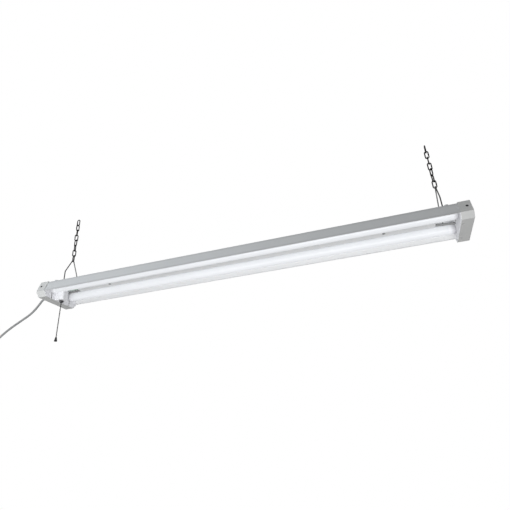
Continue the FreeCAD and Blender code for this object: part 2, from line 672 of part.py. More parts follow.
def plug_body():
    """Moulded plug that hangs below the coil, nose down."""
    x = CORD_ROUTE[-1].x
    neck = cone(4.6, 6.4, V(x, 0, TAIL_END), V(x, 0, TAIL_END - 20))
    block = box((x - 12.5, x + 12.5), (-10.5, 10.5), (TAIL_END - 42, TAIL_END - 17))
    block = block.makeFillet(4.5, [e for e in block.Edges if abs(e.tangentAt(0).z) > 0.9])
    block = block.makeFillet(3.0, [e for e in block.Edges if e.Vertexes[0].Z > TAIL_END - 17.1
                                   and e.Vertexes[-1].Z > TAIL_END - 17.1])
    depth = (TAIL_END - 43, TAIL_END - 36)
    sockets = [box((x - 6.6 + s, x - 4.8 + s), (-0.5, 6.0), depth) for s in (0, 11.4)]
    sockets.append(rod(2.6, V(x, -6.2, depth[0]), V(x, -6.2, depth[1])))
    return fuse(neck, block).cut(sockets)


def plug_prongs():
    """Two flat blades and a round ground pin."""
    x = CORD_ROUTE[-1].x
    end = TAIL_END - 42
    blades = [box((x - 6.5 + s, x - 4.9 + s), (-0.4, 5.9), (end - 16, end + 5.8)) for s in (0, 11.4)]
    tip = V(x, -6.2, end - 14)
    pin = fuse(rod(2.4, V(x, -6.2, end + 5.8), tip), Part.makeSphere(2.4, tip))
    return group(blades + [pin])


# ---- write every piece -----------------------------------------------------------------------------------

def main():
    os.makedirs("parts", exist_ok=True)
    save("hood", hood())
    save("end_cap_right", end_cap())
    save("end_cap_left", left_cap())
    save("end_cap_screws", cap_screws())
    save("channel_cover", channel_cover())
    save("cover_brackets", cover_brackets())
    save("cover_screws", cover_screws())
    save("led_driver", led_driver())
    save("driver_screws", driver_screws())
    save("supply_leads", supply_leads())
    save("lamp_leads", lamp_leads())
    save("wire_nuts", wire_nuts())
    save("ground_screw", ground_screw())
    save("lampholder_screws", lampholder_screws())
    for row, place in ((-1, "near"), (1, "far")):
        for side, end in ((-1, "left"), (1, "right")):
            save(f"lampholder_{place}_{end}", lampholder(side, row))
        save(f"tube_{place}_lens", tube_lens(row))
        save(f"tube_{place}_collars", tube_collars(row))
        save(f"tube_{place}_pins", tube_pins(row))
        save(f"tube_{place}_rotors", tube_rotors(row))
        save(f"tube_{place}_heat_sink", tube_heat_sink(row))
        save(f"tube_{place}_led_board", tube_led_board(row))
    save("switch_body", switch_body())
    save("switch_bushing", switch_bushing())
    save("pull_plunger", pull_plunger())
    save("pull_link", pull_link())
    save("bead_chain", bead_chain())
    save("chain_bell", chain_bell())
    save("hanger_right", hanger())
    save("hanger_left", mirror_x(hanger()))
    for number, turn in enumerate(LEFT_TURNS, 1):
        save(f"chain_left_{number}", chain_link(-1, number, turn))
    for number, turn in enumerate(RIGHT_TURNS, 1):
        save(f"chain_right_{number}", chain_link(1, number, turn))
    save("strain_relief", strain_relief())
    save("mains_cord", mains_cord())
    save("cord_coil", cord_coil())
    save("coil_tie", coil_tie())
    save("plug_body", plug_body())
    save("plug_prongs", plug_prongs())


main()
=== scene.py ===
"""Four-foot hanging grow lamp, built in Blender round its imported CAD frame. Every length is in metres."""
import math

import bmesh
import bpy
from mathutils import Matrix, Vector


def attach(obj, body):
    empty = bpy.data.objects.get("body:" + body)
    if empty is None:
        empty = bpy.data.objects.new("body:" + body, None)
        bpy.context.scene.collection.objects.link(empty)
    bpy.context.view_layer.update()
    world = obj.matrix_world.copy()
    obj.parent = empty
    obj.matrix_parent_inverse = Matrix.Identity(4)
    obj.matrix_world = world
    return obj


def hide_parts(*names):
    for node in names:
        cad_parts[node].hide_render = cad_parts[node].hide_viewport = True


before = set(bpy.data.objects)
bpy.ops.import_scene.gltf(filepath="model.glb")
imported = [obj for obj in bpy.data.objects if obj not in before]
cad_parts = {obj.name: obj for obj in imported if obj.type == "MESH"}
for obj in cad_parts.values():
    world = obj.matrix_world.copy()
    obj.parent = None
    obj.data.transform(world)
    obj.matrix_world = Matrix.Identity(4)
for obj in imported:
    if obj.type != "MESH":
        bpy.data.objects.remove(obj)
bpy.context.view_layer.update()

scene = bpy.context.scene

# Places repeated from the CAD source, in the row frame
HANG_LEVEL = 0.24845
TUBE_Z = -0.0189 - HANG_LEVEL
TUBE_RADIUS = 0.013
CORD = 0.0066
CORD_ROUTE = (
    (-0.641, 0, -0.27045), (-0.6525, 0, -0.27045), (-0.6635, 0, -0.27375), (-0.674, 0, -0.28075),
    (-0.6835, 0, -0.29325), (-0.6965, 0, -0.3085), (-0.7145, 0, -0.3228), (-0.746, 0, -0.3386),
    (-0.781, 0, -0.356), (-0.817, 0, -0.379), (-0.841, 0, -0.4008), (-0.855, 0.001, -0.42845),
    (-0.8575, 0.003, -0.45345))
COIL_AT = Vector((-0.8982, 0, -0.47345))
COIL_RADIUS = 0.0362
COIL_TURNS = 5
TURN_POINTS = 18
TURN_SPREAD = 0.00675
TAIL_ROUTE = ((-0.8575, -0.0025, -0.4865), (-0.8612, -0.0006, -0.5), (-0.862, 0, -0.5152))
PLUG_AT = Vector((-0.862, 0, -0.266 - HANG_LEVEL))
LINK_PITCH = 0.0195
LINK_BEND = 0.00455
LINK_WIRE = 0.0016
LINK_FIRST = 0.10205 - HANG_LEVEL
HANGER_X = 0.5723
LEFT_TURNS = (-25, 43, -72, -9, 54, -37, 74, 0)
RIGHT_TURNS = (-10, 55, -62, 2, 80, -10, 90)

# The coil's turns: where the bundle's first turn lies round its middle, how far each turn moves on,
# how far the turns fan out, and where the cord joins and leaves them
FIRST_TURN_AT = 30
TURN_STEP = 60
TURN_FAN = 0.12
COIL_GROWTH = 1.008
COIL_IN = Vector((0.0422, 0.0034, 0.0))
COIL_OUT = Vector((0.0422, -0.0034, 0.0))

# Plug and strain relief
CAP_END = -0.6305
RELIEF_RIBS = 5
RELIEF_TAPER = 0.00033
PLUG_NOSE = -0.042
BLADE_X = 0.0057
BLADE_Y = 0.00275
GROUND_PIN_Y = -0.0062

# Jacketed leads in view past the channel cover, dark leads that also stand in for shade in the open channel:
# name, start and end
LEAD_STEPS = 14
SHADING_LEAD_RUNS = (
    ("lead_jacket_shade_right", (0.545, 0.0147, -0.0108 - HANG_LEVEL), (0.5992, 0.0170, -0.0146 - HANG_LEVEL)),
    ("lead_jacket_shade_left", (-0.533, 0.0140, -0.0108 - HANG_LEVEL), (-0.5992, 0.0140, -0.0160 - HANG_LEVEL)),
)

# Where the finishes change over the hood, caps, tubes and hanger wires
# The hood's inside is painted whiter: a reflector coat, and also painted light from the tubes on the inner
# walls
TOP_HALF = 0.0606
WALL_SLOPE = 0.3874
PAINT_TURN = (-0.0005, -0.0003)
# Painted shade on the hood's outside: darker away from a middle band of the wall, towards its top and bottom
# edges
WALL_MIDDLE = 0.017
WALL_SHADE_BAND = (0.007, 0.0165)
EDGE_PAINTED_SHADE = 0.75
# The caps' faces toward the tubes are painted whiter and glow faintly: painted light from the tubes
BULKHEAD_FACE = 0.600
BULKHEAD_TURN = (0.0005, 0.001)
CAP_PAINTED_GLOW = 0.11
TUBE_GLOW = 0.47
# The collars glow as painted light though they are no lamp, dimming towards their outer ends as painted
# shade
COLLAR_PAINTED_GLOW = 0.85
LENS_FADE = (0.570, 0.5825, 0.9)
COLLAR_END_PAINTED_SHADE = (0.5850, 0.5985, 0.1)
TUBE_BACK_FROM = 0.006
TUBE_BACK_GLOW = 0.75
# Painted light and shade on the hanger wire: the far leg is painted lighter than the near leg
WIRE_FAR_LEG = (0.002, 0.012)
WIRE_FAR_LEG_PAINTED_LIGHT = 0.85
GREEN_FROM = 0.86
NOISE_LOW = 0.3
NOISE_HIGH = 0.7
BUMP_STRENGTH = 0.6

# Studio: floor, lights as (name, place, target, size, watts, colour), and camera
FLOOR_Z = -2.8
FLOOR_RADIUS = 2.9
FLOOR_THICK = 0.01
FLOOR_GLOW = 0.34
AMBIENT = 0.06
LAMP_MIDDLE = (0, 0, -0.27)
LIGHTS = (
    ("low_key", (0.2, -1.9, -1.6), LAMP_MIDDLE, (2.4, 1.2), 32, (1, 1, 0.99)),
    ("near_left", (-0.7, -1.0, -0.12), (-0.45, 0, -0.27), (0.7, 0.6), 5.7, (0.93, 0.97, 1)),
    ("overhead", (0, 0.6, 1.6), LAMP_MIDDLE, (2.5, 2.0), 16, (1, 1, 1)),
    ("behind", (0.1, 2.0, -0.1), LAMP_MIDDLE, (2.4, 1.0), 8, (1, 1, 1)),
    ("right_end", (2.4, 0, -0.2), LAMP_MIDDLE, (0.8, 1.4), 8, (1, 1, 1)),
    ("left_end", (-2.6, 0, -0.2), LAMP_MIDDLE, (0.8, 1.4), 8, (1, 1, 1)),
)
LENS = 31.535
EYE = (0.3947, -1.1046, -0.8118)
EYE_RIGHT = (0.94935, 0.3106, -0.04751)
EYE_UP = (0.17564, -0.39918, 0.89989)
EYE_BACK = (0.26054, -0.86266, -0.43352)


# ---- mesh helpers ----------------------------------------------------------------------------------------

def add(name, mesh, body, slot, *nodes):
    """Link a mesh as a piece that rides on a body and takes a slot's finish."""
    piece = bpy.data.objects.new(name, mesh)
    scene.collection.objects.link(piece)
    return settle(piece, body, slot, *nodes)


def settle(piece, body, slot, *nodes):
    """Say which body a piece rides on, whose finish it takes and which CAD nodes it stands for."""
    piece.data.materials.append(FINISHES[slot])
    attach(piece, body)
    if nodes:
        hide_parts(*nodes)
    return piece


def mesh_from(rings, name, closed_along=False, capped=True):
    """Mesh whose skin joins rings of equally many points; every ring is closed."""
    shell = bmesh.new()
    grid = [[shell.verts.new(point) for point in ring] for ring in rings]
    pairs = list(zip(grid, grid[1:]))
    if closed_along:
        pairs.append((grid[-1], grid[0]))
    for lower, upper in pairs:
        for k in range(len(lower)):
            n = (k + 1) % len(lower)
            shell.faces.new((lower[k], lower[n], upper[n], upper[k]))
    if capped and not closed_along:
        shell.faces.new(grid[0][::-1])
        shell.faces.new(grid[-1])
    bmesh.ops.recalc_face_normals(shell, faces=shell.faces[:])
    mesh = bpy.data.meshes.new(name)
    shell.to_mesh(mesh)
    shell.free()
    for face in mesh.polygons:
        face.use_smooth = True
    return mesh


def turned(profile, centre, axis, name, sides=48, closed=False):
    """Mesh of revolution: profile is (along, radius) pairs about an axis through centre."""
    frame_turn = Vector((0, 0, 1)).rotation_difference(Vector(axis)).to_matrix()
    rings = []
    for along, radius in profile:
        ring = []
        for k in range(sides):
            angle = 2 * math.pi * k / sides
            local = Vector((radius * math.cos(angle), radius * math.sin(angle), along))
            ring.append(Vector(centre) + frame_turn @ local)
        rings.append(ring)
    return mesh_from(rings, name, closed_along=closed)


def squircle(half_x, half_y, power, at, count=48):
    """Ring of points on a rounded rectangle in a level plane."""
    ring = []
    for k in range(count):
        angle = 2 * math.pi * (k + 0.5) / count
        c, s = math.cos(angle), math.sin(angle)
        x = half_x * math.copysign(abs(c) ** (2 / power), c)
        y = half_y * math.copysign(abs(s) ** (2 / power), s)
        ring.append(Vector(at) + Vector((x, y, 0)))
    return ring


# ---- finishes --------------------------------------------------------------------------------------------

def finish(name, dark, light, rough, metallic=0.0, patch=14.0, grain=1400.0, depth=0.00002, **sockets):
    """Procedural finish: slow drift between two tones, fine grain in the roughness and a shallow bump."""
    material = bpy.data.materials.new(name)
    material.use_nodes = True
    nodes = material.node_tree.nodes
    link = material.node_tree.links.new
    shader = nodes["Principled BSDF"]
    shader.inputs["Metallic"].default_value = metallic
    for socket, value in sockets.items():
        shader.inputs[socket.replace("_", " ")].default_value = value
    place = nodes.new("ShaderNodeTexCoord")
    drift = nodes.new("ShaderNodeTexNoise")
    drift.inputs["Scale"].default_value = patch
    drift.inputs["Detail"].default_value = 4
    ramp = nodes.new("ShaderNodeValToRGB")
    ramp.color_ramp.elements[0].position = NOISE_LOW
    ramp.color_ramp.elements[0].color = (*dark, 1)
    ramp.color_ramp.elements[1].position = NOISE_HIGH
    ramp.color_ramp.elements[1].color = (*light, 1)
    fine = nodes.new("ShaderNodeTexNoise")
    fine.inputs["Scale"].default_value = grain
    fine.inputs["Detail"].default_value = 3
    gloss = nodes.new("ShaderNodeMapRange")
    gloss.inputs["From Min"].default_value = NOISE_LOW
    gloss.inputs["From Max"].default_value = NOISE_HIGH
    gloss.inputs["To Min"].default_value = rough[0]
    gloss.inputs["To Max"].default_value = rough[1]
    bump = nodes.new("ShaderNodeBump")
    bump.inputs["Strength"].default_value = BUMP_STRENGTH
    bump.inputs["Distance"].default_value = depth
    link(place.outputs["Object"], drift.inputs["Vector"])
    link(place.outputs["Object"], fine.inputs["Vector"])
    link(drift.outputs["Fac"], ramp.inputs["Fac"])
    link(ramp.outputs["Color"], shader.inputs["Base Color"])
    link(fine.outputs["Fac"], gloss.inputs["Value"])
    link(gloss.outputs["Result"], shader.inputs["Roughness"])
    link(fine.outputs["Fac"], bump.inputs["Height"])
    link(bump.outputs["Normal"], shader.inputs["Normal"])
    return material


def ranged(material, source, low, high, to_low, to_high):
    """Smooth step of a value between two limits, clamped at both."""
    step = material.node_tree.nodes.new("ShaderNodeMapRange")
    step.interpolation_type = "SMOOTHSTEP"
    for socket, value in (("From Min", low), ("From Max", high), ("To Min", to_low), ("To Max", to_high)):
        step.inputs[socket].default_value = value
    material.node_tree.links.new(source, step.inputs["Value"])
    return step.outputs["Result"]


def maths(material, operation, first, second=None):
    """One Math node on a socket and a second socket or number."""
    node = material.node_tree.nodes.new("ShaderNodeMath")
    node.operation = operation
    material.node_tree.links.new(first, node.inputs[0])
    if isinstance(second, (int, float)):
        node.inputs[1].default_value = second
    elif second is not None:
        material.node_tree.links.new(second, node.inputs[1])
    return node.outputs["Value"]


def split_place(material):
    """Sockets of the object-space X, Y and Z."""
    nodes = material.node_tree.nodes
    place = nodes.new("ShaderNodeTexCoord")
    split = nodes.new("ShaderNodeSeparateXYZ")
    material.node_tree.links.new(place.outputs["Object"], split.inputs["Vector"])
    return split.outputs


def lit(material, strength, fade):
    """Make a tube's part glow, less over its back and over the fade at its ends: start, end, amount left."""
    fade_start, fade_end, at_end = fade
    place = split_place(material)
    reach = maths(material, "ABSOLUTE", place["X"])
    ends = ranged(material, reach, fade_start, fade_end, 1.0, at_end)
    back = ranged(material, place["Z"], TUBE_Z + TUBE_BACK_FROM, TUBE_Z + TUBE_RADIUS,
                  1.0, TUBE_BACK_GLOW)
    glow = maths(material, "MULTIPLY", maths(material, "MULTIPLY", ends, back), strength)
    shader = material.node_tree.nodes["Principled BSDF"]
    shader.inputs["Emission Color"].default_value = (0.95, 0.97, 1.0, 1)
    material.node_tree.links.new(glow, shader.inputs["Emission Strength"])
    return material


def overpaint(material, amount, colour):
    """Lay a second tone over a finish, by an amount from 0 to 1."""
    nodes = material.node_tree.nodes
    link = material.node_tree.links.new
    base = nodes["Principled BSDF"].inputs["Base Color"]
    under = base.links[0].from_socket
    mix = nodes.new("ShaderNodeMix")
    mix.data_type = "RGBA"
    factor = next(socket for socket in mix.inputs if socket.identifier == "Factor_Float")
    first = next(socket for socket in mix.inputs if socket.identifier == "A_Color")
    second = next(socket for socket in mix.inputs if socket.identifier == "B_Color")
    result = next(socket for socket in mix.outputs if socket.identifier == "Result_Color")
    link(amount, factor)
    link(under, first)
    second.default_value = (*colour, 1)
    link(result, base)
    return material


def hood_paint_with_painted_light():
    """Hood enamel: grey-white outside, painted darker towards the top and bottom of the wall as painted
    shade, and a whiter reflector coat inside the folds, made whiter also as painted light from the tubes.
    """
    material = finish("hood_paint", (0.67, 0.685, 0.70), (0.71, 0.72, 0.73), (0.34, 0.46), patch=7,
                      grain=700, depth=0.00003, Coat_Weight=0.08, Coat_Roughness=0.3)
    place = split_place(material)
    height = maths(material, "ADD", place["Z"], HANG_LEVEL)
    from_middle = maths(material, "ABSOLUTE", maths(material, "ADD", height, WALL_MIDDLE))
    # Painted shade: the outside is darkened away from the wall's middle band, towards its top and bottom
    edge_shade = ranged(material, from_middle, *WALL_SHADE_BAND, 0.0, EDGE_PAINTED_SHADE)
    overpaint(material, edge_shade, (0.58, 0.59, 0.60))
    wall = maths(material, "MULTIPLY", height, WALL_SLOPE)
    wall = maths(material, "ADD", wall, maths(material, "ABSOLUTE", place["Y"]))
    outermost = maths(material, "MAXIMUM", maths(material, "SUBTRACT", wall, TOP_HALF), height)
    # Whiter inside the folds: a reflector coat, made whiter also as painted light from the tubes
    inside = ranged(material, outermost, *PAINT_TURN, 1.0, 0.0)
    return overpaint(material, inside, (0.86, 0.865, 0.87))


def cap_plastic_with_painted_light():
    """Cap plastic, painted whiter and given a faint glow where it faces the tubes: painted light from the
    tubes, since the caps are no lamp.
    """
    material = finish("cap_plastic", (0.66, 0.67, 0.67), (0.71, 0.71, 0.70), (0.42, 0.55), patch=30,
                      grain=2200, depth=0.00004)
    place = split_place(material)
    reach = maths(material, "ABSOLUTE", place["X"])
    turn_from, turn_to = (BULKHEAD_FACE + past for past in BULKHEAD_TURN)
    inner = ranged(material, reach, turn_from, turn_to, 1.0, 0.0)
    # Painted light: the cap is whiter and glows faintly where it faces the tubes, though it is no lamp
    overpaint(material, inner, (0.84, 0.84, 0.86))
    shader = material.node_tree.nodes["Principled BSDF"]
    shader.inputs["Emission Color"].default_value = (0.93, 0.94, 1.0, 1)
    glow = maths(material, "MULTIPLY", inner, CAP_PAINTED_GLOW)
    material.node_tree.links.new(glow, shader.inputs["Emission Strength"])
    return material


def wire_with_painted_light():
    """Hanger wire, darker on its near leg than on its far one: painted shade on the near leg and painted
    light on the far one.
    """
    material = finish("hanger_wire", (0.03, 0.03, 0.031), (0.09, 0.09, 0.09), (0.35, 0.5), 0.6, patch=90)
    # Painted light on the far leg, leaving the near leg darker as painted shade
    far = ranged(material, split_place(material)["Y"], *WIRE_FAR_LEG, 0.0, WIRE_FAR_LEG_PAINTED_LIGHT)
    return overpaint(material, far, (0.34, 0.34, 0.34))


def lead_colours():
    """Lead insulation that is white, black or green by its place across the channel."""
    material = finish("lead_insulation", (0.5, 0.5, 0.5), (0.6, 0.6, 0.6), (0.35, 0.45), depth=0.00001)
    nodes = material.node_tree.nodes
    link = material.node_tree.links.new
    across = ranged(material, split_place(material)["Y"], -0.012, 0.012, 0, 1)
    ramp = nodes.new("ShaderNodeValToRGB")
    ramp.color_ramp.interpolation = "CONSTANT"
    ramp.color_ramp.elements[0].color = (0.78, 0.78, 0.76, 1)
    ramp.color_ramp.elements[1].position = 0.5
    ramp.color_ramp.elements[1].color = (0.02, 0.02, 0.022, 1)
    green = ramp.color_ramp.elements.new(GREEN_FROM)
    green.color = (0.03, 0.28, 0.08, 1)
    link(across, ramp.inputs["Fac"])
    link(ramp.outputs["Color"], nodes["Principled BSDF"].inputs["Base Color"])
    return material


FINISHES = {
    "hood_paint": hood_paint_with_painted_light(),
    "cap_plastic": cap_plastic_with_painted_light(),
    "dark_screw": finish("dark_screw", (0.05, 0.05, 0.055), (0.12, 0.12, 0.13),
                         (0.25, 0.45), 0.9, patch=300),
    "zinc_steel": finish("zinc_steel", (0.48, 0.49, 0.50), (0.62, 0.62, 0.60), (0.25, 0.5), 1.0, patch=120,
                         grain=600),
    "driver_case": finish("driver_case", (0.72, 0.72, 0.71), (0.78, 0.78, 0.77), (0.35, 0.5), patch=40),
    "lead_insulation": lead_colours(),
    "lamp_lead_insulation": finish("lamp_lead_insulation", (0.70, 0.70, 0.68), (0.78, 0.78, 0.76),
                                   (0.35, 0.45)),
    "wire_nut_plastic": finish("wire_nut_plastic", (0.65, 0.17, 0.03), (0.78, 0.24, 0.05), (0.35, 0.5)),
    "ground_green": finish("ground_green", (0.03, 0.22, 0.08), (0.06, 0.33, 0.12),
                           (0.3, 0.45), 0.6, patch=400),
    "holder_plastic": finish("holder_plastic", (0.74, 0.74, 0.72), (0.80, 0.80, 0.78),
                             (0.35, 0.5), grain=2600),
    "rotor_plastic": finish("rotor_plastic", (0.70, 0.70, 0.69), (0.77, 0.77, 0.75),
                            (0.3, 0.45), patch=200),
    "frosted_tube": lit(finish("frosted_tube", (0.50, 0.51, 0.53), (0.54, 0.55, 0.57),
                               (0.25, 0.34), patch=6,
                               grain=2600, depth=0.000006), TUBE_GLOW, LENS_FADE),
    # Painted light on the collars: they glow like the lens, less towards their outer ends as painted shade
    "collar_plastic": lit(finish("collar_plastic", (0.56, 0.56, 0.59), (0.61, 0.61, 0.64), (0.35, 0.5),
                                 grain=2200), COLLAR_PAINTED_GLOW * TUBE_GLOW, COLLAR_END_PAINTED_SHADE),
    "pin_metal": finish("pin_metal", (0.68, 0.62, 0.50), (0.78, 0.73, 0.62), (0.2, 0.4), 1.0, patch=500),
    "sink_aluminium": finish("sink_aluminium", (0.66, 0.67, 0.68), (0.76, 0.76, 0.77),
                             (0.3, 0.5), 1.0, patch=60),
    "board_white": finish("board_white", (0.76, 0.77, 0.76), (0.83, 0.83, 0.81), (0.4, 0.55), patch=90),
    "switch_black": finish("switch_black", (0.015, 0.015, 0.016), (0.035, 0.035, 0.037),
                           (0.35, 0.5), grain=2600),
    "bushing_metal": finish("bushing_metal", (0.08, 0.08, 0.082), (0.16, 0.16, 0.165), (0.28, 0.45), 0.8,
                            patch=500),
    "bead_metal": finish("bead_metal", (0.015, 0.015, 0.015), (0.07, 0.07, 0.07),
                         (0.2, 0.38), 1.0, patch=260),
    "bell_black": finish("bell_black", (0.01, 0.01, 0.011), (0.03, 0.03, 0.032), (0.3, 0.45), grain=2400),
    "hanger_wire": wire_with_painted_light(),
    "chain_metal": finish("chain_metal", (0.02, 0.02, 0.021), (0.08, 0.08, 0.08),
                          (0.3, 0.5), 0.8, patch=180),
    "relief_rubber": finish("relief_rubber", (0.50, 0.50, 0.50), (0.56, 0.56, 0.56),
                            (0.5, 0.65), grain=1800),
    "cord_jacket": finish("cord_jacket", (0.28, 0.285, 0.29), (0.34, 0.34, 0.34), (0.45, 0.6), patch=25,
                          grain=1500, depth=0.00003),
    "tie_plastic": finish("tie_plastic", (0.02, 0.02, 0.02), (0.05, 0.05, 0.05), (0.4, 0.55), grain=2400),
    "plug_rubber": finish("plug_rubber", (0.47, 0.475, 0.48), (0.54, 0.54, 0.54), (0.45, 0.6), grain=1800),
    "prong_brass": finish("prong_brass", (0.62, 0.58, 0.48), (0.76, 0.72, 0.62),
                          (0.18, 0.36), 1.0, patch=350),
}

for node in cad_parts.values():
    slot_name = node.data.materials[0].name.split(".")[0]
    node.material_slots[0].link = "OBJECT"
    node.material_slots[0].material = FINISHES[slot_name]


# ---- mains cord ------------------------------------------------------------------------------------------

def coil_points():
    """Control points of the put-away turns, each a sixth of the bundle further round than the last."""
    points = []
    for step in range(1, COIL_TURNS * TURN_POINTS):
        turn = step / TURN_POINTS
        angle = -2 * math.pi * turn
        place = math.radians(FIRST_TURN_AT + TURN_STEP * turn)
        fan = 1 + TURN_FAN * (0.5 + 0.5 * math.cos(angle)) * math.sin(math.pi * turn / COIL_TURNS)
        radius = COIL_RADIUS * COIL_GROWTH + TURN_SPREAD * fan * math.cos(place)
        points.append(COIL_AT + Vector((radius * math.cos(angle), TURN_SPREAD * fan * math.sin(place),
                                        radius * math.sin(angle))))
    return points


def free_cord():
    """The cord from its strain relief to its plug, on one smooth line."""
    route = [Vector(p) for p in CORD_ROUTE]
    route.append(COIL_AT + COIL_IN)
    route += coil_points()
    route.append(COIL_AT + COIL_OUT)
    route += [Vector(p) for p in TAIL_ROUTE]
    curve = bpy.data.curves.new("mains_lead", "CURVE")
    curve.dimensions = "3D"
    curve.bevel_depth = CORD / 2
    curve.bevel_resolution = 6
    curve.resolution_u = 6
    curve.use_fill_caps = True
    line = curve.splines.new("NURBS")
    line.points.add(len(route) - 1)
    for point, place in zip(line.points, route):
        point.co = (*place, 1)
    line.order_u = 3
    line.use_endpoint_u = True
    cord = bpy.data.objects.new("mains_lead", curve)
    scene.collection.objects.link(cord)
    return settle(cord, "housing", "cord_jacket", "mains_cord", "cord_coil")


def relief_sleeve():
    """Ribbed, tapered sleeve in the cap's end wall."""
    profile = [(-0.009, 0.0034), (-0.009, 0.0058), (-0.0085, 0.0063), (0.0, 0.0063), (0.0001, 0.0082),
               (0.0004, 0.0084), (0.0016, 0.0084), (0.002, 0.008), (0.0021, 0.0062)]
    rib = 0.0024
    for k in range(RELIEF_RIBS):
        start = 0.0024 + k * rib
        size = 0.0061 - RELIEF_TAPER * k
        profile += [(start, size), (start + 0.0012, size - 0.0001), (start + 0.0014, size - 0.0008),
                    (start + rib - 0.0002, size - 0.0009)]
    profile += [(0.0148, 0.0042), (0.0152, 0.0037), (0.0152, 0.0033)]
    mesh = turned(profile, (CAP_END, 0, CORD_ROUTE[0][2]), (-1, 0, 0), "relief_sleeve", sides=40)
    return add("relief_sleeve", mesh, "housing", "relief_rubber", "strain_relief")


def plug_shell():
    """Moulded plug: ribbed neck, shoulders, waisted sides and a flat nose with softened edges."""
    rings = []
    for along, half_x, half_y, power in (
            (0.0012, 0.0034, 0.0034, 2), (0.0012, 0.0044, 0.0044, 2), (0.0, 0.0048, 0.0048, 2),
            (-0.003, 0.0050, 0.0050, 2), (-0.0034, 0.0043, 0.0043, 2), (-0.0050, 0.0043, 0.0043, 2),
            (-0.0054, 0.0053, 0.0053, 2), (-0.0084, 0.0056, 0.0055, 2), (-0.0088, 0.0047, 0.0047, 2),
            (-0.0104, 0.0047, 0.0047, 2), (-0.0108, 0.0058, 0.0057, 2), (-0.0142, 0.0066, 0.0062, 2.1),
            (-0.0168, 0.0090, 0.0078, 2.4), (-0.0192, 0.0112, 0.0095, 3.0), (-0.0215, 0.0121, 0.0102, 3.6),
            (-0.0250, 0.0120, 0.0103, 4.0), (-0.0290, 0.0113, 0.0103, 4.2), (-0.0330, 0.0113, 0.0103, 4.2),
            (-0.0365, 0.0121, 0.0104, 4.4), (-0.0395, 0.0125, 0.0105, 4.6), (-0.0412, 0.0124, 0.0104, 4.6),
            (-0.0418, 0.0119, 0.0099, 4.6), (-0.0420, 0.0112, 0.0092, 4.6)):
        rings.append(squircle(half_x, half_y, power, PLUG_AT + Vector((0, 0, along))))
    return add("plug_shell", mesh_from(rings, "plug_shell"), "housing", "plug_rubber", "plug_body")


def blade(offset):
    """Flat blade with a tapered tip and a round hole."""
    curve = bpy.data.curves.new("blade", "CURVE")
    curve.dimensions = "2D"
    curve.extrude = 0.0006
    curve.bevel_depth = 0.00018
    curve.bevel_resolution = 2
    outline = ((-0.003, 0.004), (0.003, 0.004), (0.003, -0.0136), (0.0017, -0.0158), (-0.0017, -0.0158),
               (-0.003, -0.0136))
    hole = [(0.0015 * math.cos(math.pi * k / 10), -0.0115 + 0.0015 * math.sin(math.pi * k / 10))
            for k in range(20)]
    for loop in (outline, hole):
        line = curve.splines.new("POLY")
        line.points.add(len(loop) - 1)
        for point, (across, along) in zip(line.points, loop):
            point.co = (across, along, 0, 1)
        line.use_cyclic_u = True
    shape = bpy.data.objects.new("blade", curve)
    scene.collection.objects.link(shape)
    mesh = bpy.data.meshes.new_from_object(shape.evaluated_get(bpy.context.evaluated_depsgraph_get()))
    bpy.data.objects.remove(shape)
    upright = Matrix(((0, 0, 1, 0), (1, 0, 0, 0), (0, 1, 0, 0), (0, 0, 0, 1)))
    mesh.transform(Matrix.Translation(PLUG_AT + Vector((offset, BLADE_Y, PLUG_NOSE))) @ upright)
    return mesh


def plug_blades():
    """Two flat blades and the round ground pin."""
    whole = bmesh.new()
    for offset in (-BLADE_X, BLADE_X):
        whole.from_mesh(blade(offset))
    pin = [(0.005, 0.0), (0.005, 0.0024), (-0.0138, 0.0024), (-0.0150, 0.0021), (-0.0159, 0.0014),
           (-0.0164, 0.0003)]
    whole.from_mesh(turned(pin, PLUG_AT + Vector((0, GROUND_PIN_Y, PLUG_NOSE)), (0, 0, 1), "pin", sides=32))
    mesh = bpy.data.meshes.new("plug_blades")
    whole.to_mesh(mesh)
    whole.free()
    return add("plug_blades", mesh, "housing", "prong_brass", "plug_prongs")


def coil_strap():
    """Toothed tie round the turns, with its head and a trimmed end."""
    centre = COIL_AT - Vector((COIL_RADIUS, 0, 0))
    inner = TURN_SPREAD + CORD / 2 + 0.0002
    half = 0.0023
    band = [(-half, inner), (-half, inner + 0.0008), (-half + 0.0002, inner + 0.001),
            (half - 0.0002, inner + 0.001), (half, inner + 0.0008), (half, inner)]
    whole = bmesh.new()
    whole.from_mesh(turned(band, centre, (0, 0, 1), "band", sides=72, closed=True))
    head = []
    at = centre - Vector((inner + 0.0021, 0, 0))
    for along, grow in ((-0.0034, 0.82), (-0.0031, 0.95), (-0.0026, 1.0), (0.0026, 1.0), (0.0031, 0.95),
                        (0.0034, 0.82)):
        head.append(squircle(0.0022 * grow, 0.0034 * grow, 5, at + Vector((0, 0, along))))
    whole.from_mesh(mesh_from(head, "head"))
    end = []
    for k in range(9):
        reach = k / 8
        place = at + Vector((-0.0006 - 0.0011 * reach, -0.003 - 0.0085 * reach, 0))
        end.append([place + Vector((dx, 0, dz)) for dx, dz in
                    ((-0.0005, -0.0019), (0.0005, -0.0019), (0.0005, 0.0019), (-0.0005, 0.0019))])
    whole.from_mesh(mesh_from(end, "end"))
    mesh = bpy.data.meshes.new("coil_strap")
    whole.to_mesh(mesh)
    whole.free()
    return add("coil_strap", mesh, "housing", "tie_plastic", "coil_tie")


lead = free_cord()
relief_sleeve()
shell = plug_shell()
blades = plug_blades()
strap = coil_strap()


# ---- chain welds -----------------------------------------------------------------------------------------

